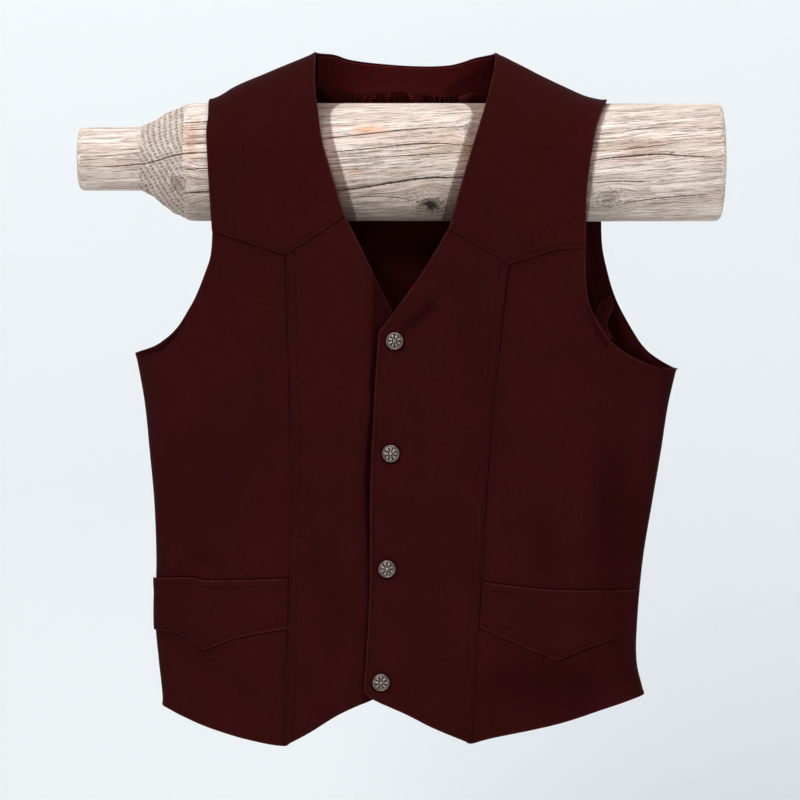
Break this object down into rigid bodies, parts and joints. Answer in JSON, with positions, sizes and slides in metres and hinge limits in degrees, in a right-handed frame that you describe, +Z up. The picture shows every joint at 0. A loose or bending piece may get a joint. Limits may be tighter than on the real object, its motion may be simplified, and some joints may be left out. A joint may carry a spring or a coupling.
{
  "type": "western vest hung on a round log",
  "caption": "Leather V-neck western vest with pointed yokes, pocket bands and snap caps, hung through its armholes on a round wooden log.",
  "frame": {"origin": "on the log's axis, at the middle of the neck opening", "axes": "+Z up, +X along the log to the viewer's right, +Y from the front of the vest to its back"},
  "size_m": [0.622, 0.1313, 0.6693],
  "materials": {
    "leather": "matte dark maroon leather with a fine grain",
    "lining": "dark maroon satin lining",
    "wood": "bare weathered pale wood",
    "metal": "antique silver"
  },
  "bodies": {
    "root": {"log": "wood", "yoke_left": "leather", "yoke_right": "leather", "side_front_left": "leather", "side_front_right": "leather", "centre_front_left": "leather", "centre_front_right": "leather", "back": "leather", "back_neck_facing": "leather", "back_lining": "lining", "pocket_band_left": "leather", "pocket_band_right": "leather", "armhole_facing_right": "leather", "snap_1": "metal", "snap_2": "metal", "snap_3": "metal", "snap_4": "metal"}
  },
  "joints": []
}
